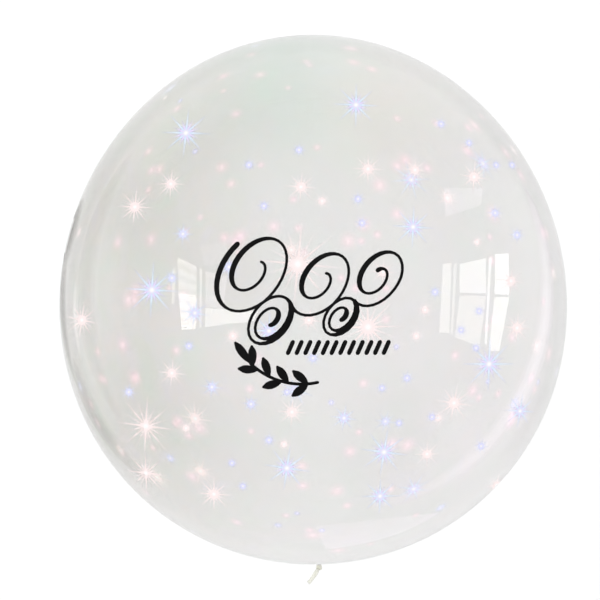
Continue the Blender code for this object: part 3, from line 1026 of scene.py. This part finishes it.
def rim_band(start, end, first, last, width, glow, tint):
    """Panes along the rim that taper to both ends and fade into the room's glow at both edges."""
    strips = len(RIM_BAND_STRIPS)

    def pixel(step, strip):
        along = step / RIM_BAND_STEPS
        bearing = math.radians(start + (end - start) * along)
        inside = 0 < step < RIM_BAND_STEPS
        taper = math.sin(math.pi * along) ** RIM_BAND_TAPER if inside else RIM_BAND_TIP
        share = first + (last - first) * along ** RIM_BAND_BEND + width * taper * (strip / strips - 0.5)
        across = OUTLINE_PIXELS / 2 * share * math.cos(bearing)
        up = BUBBLE_HEIGHT / BUBBLE_WIDTH * OUTLINE_PIXELS / 2 * share * math.sin(bearing)
        return (BUBBLE_CENTRE_PIXEL[0] + across, BUBBLE_CENTRE_PIXEL[1] - up)

    panes = []
    for step in range(RIM_BAND_STEPS):
        fade = math.sin(math.pi * (step + 0.5) / RIM_BAND_STEPS) ** RIM_BAND_FADE
        for strip, weight in enumerate(RIM_BAND_STRIPS):
            ring = ((step, strip), (step, strip + 1), (step + 1, strip + 1), (step + 1, strip))
            light = ROOM_GLOW + (glow - ROOM_GLOW) * weight * fade
            panes.append(([pixel(*place) for place in ring], light, tint))
    return panes


def make_panes(camera, film):
    """Window panes and rim bands that only show mirrored in glossy surfaces."""
    panes = []
    for group, strength, reach in PANE_GROUPS:
        for corners, glow, tint, blind in group:
            panes += [(pane, reach) for pane in pane_grid(corners, glow * strength, tint, blind)]
    for band in RIM_BANDS:
        panes += [(pane, RIM_BAND_REACH) for pane in rim_band(*band)]
    places, faces, colors = [], [], []
    for (pixels, glow, tint), reach in panes:
        mirrored = [mirrored_place(camera, film, pixel, reach) for pixel in pixels]
        if None not in mirrored:
            faces.append(list(range(len(places), len(places) + len(mirrored))))
            places += mirrored
            colors += [glow * tone for tone in tint] + [1.0]
    mesh = bpy.data.meshes.new("window_panes")
    mesh.from_pydata(places, [], faces)
    mesh.attributes.new("glow", "FLOAT_COLOR", "FACE").data.foreach_set("color", colors)
    material = bpy.data.materials.new("window light")
    material.use_nodes = True
    material.node_tree.nodes.clear()
    nodes = Nodes(material.node_tree)
    glow = nodes.add("ShaderNodeAttribute", {"attribute_name": "glow"}, output="Color")
    light = nodes.add("ShaderNodeEmission", {}, {"Color": glow})
    nodes.add("ShaderNodeOutputMaterial", {}, {"Surface": light})
    mesh.materials.append(material)
    panes = add_piece("window_panes", mesh)
    hide_from(panes, "camera", "diffuse", "transmission", "shadow")


def make_light():
    """An even pale room and one soft lamp above."""
    world = bpy.data.worlds.new("pale room")
    world.use_nodes = True
    background = world.node_tree.nodes["Background"]
    background.inputs["Color"].default_value = (1.0, 1.0, 1.0, 1.0)
    background.inputs["Strength"].default_value = ROOM_GLOW
    bpy.context.scene.world = world

    key = bpy.data.lights.new("soft_key", "AREA")
    key.shape = "DISK"
    key.size = LAMP_SIZE
    key.energy = LAMP_POWER
    lamp = bpy.data.objects.new("soft_key", key)
    bpy.context.scene.collection.objects.link(lamp)
    lamp.location = LAMP_PLACE
    lamp.rotation_euler = (Vector(LAMP_TARGET) - lamp.location).to_track_quat("-Z", "Y").to_euler()
    hide_from(lamp, "glossy", "transmission")
    bpy.context.scene.view_settings.view_transform = "Standard"


# Assembly

def wear(piece, slot, *nodes):
    """The piece rides with the balloon and stands for CAD nodes, which it hides; its slot is not used.
    """
    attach(piece, "root")
    if nodes:
        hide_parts(*nodes)


def dress_with_glints(camera, film):
    """Painted glowing stars where the photograph has them, and stars and soft dots scattered inside the
    back.
    """
    for name, places, colors, halo_spread, short_reach, density, seed in STAR_KINDS:
        for side, marked, scattered, strength, lift in (
            ("front", places, 0.0, FRONT_STRENGTH, GLINT_LIFT),
            ("back", (), density, BACK_STRENGTH, INNER_LIFT),
        ):
            label = f"glints_{name}_{side}"
            material = glint(f"{name} glint, {side}", *colors, halo_spread, short_reach, strength)
            sizes = glint_sizes(film, scattered, STAR_SPREAD, lift, seed)
            marks = marked_places(label, camera, film, marked)
            wear(make_glints(label, marks, sizes, material, from_front=bool(marked)), "clear_film")
    sizes = glint_sizes(film, SOFT_DENSITY, SOFT_SPREAD, INNER_LIFT, SOFT_SEED)
    no_marks = marked_places("no_marks", camera, film, ())
    wear(make_glints("glints_soft", no_marks, sizes, soft_glint()), "clear_film")


def main():
    camera = make_camera()
    film = make_film(clear_film())
    bpy.context.view_layer.update()

    dress_with_glints(camera, film)
    make_panes(camera, film)
    thicken_film(film)
    wear(film, "clear_film", "bubble")
    wear(make_knot_and_tail(olive_film()), "clear_film", "bubble")

    vinyl = black_vinyl()
    for name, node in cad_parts.items():
        if name != "bubble":
            node.data.materials.clear()
            node.data.materials.append(vinyl)

    make_floor()
    make_light()


main()
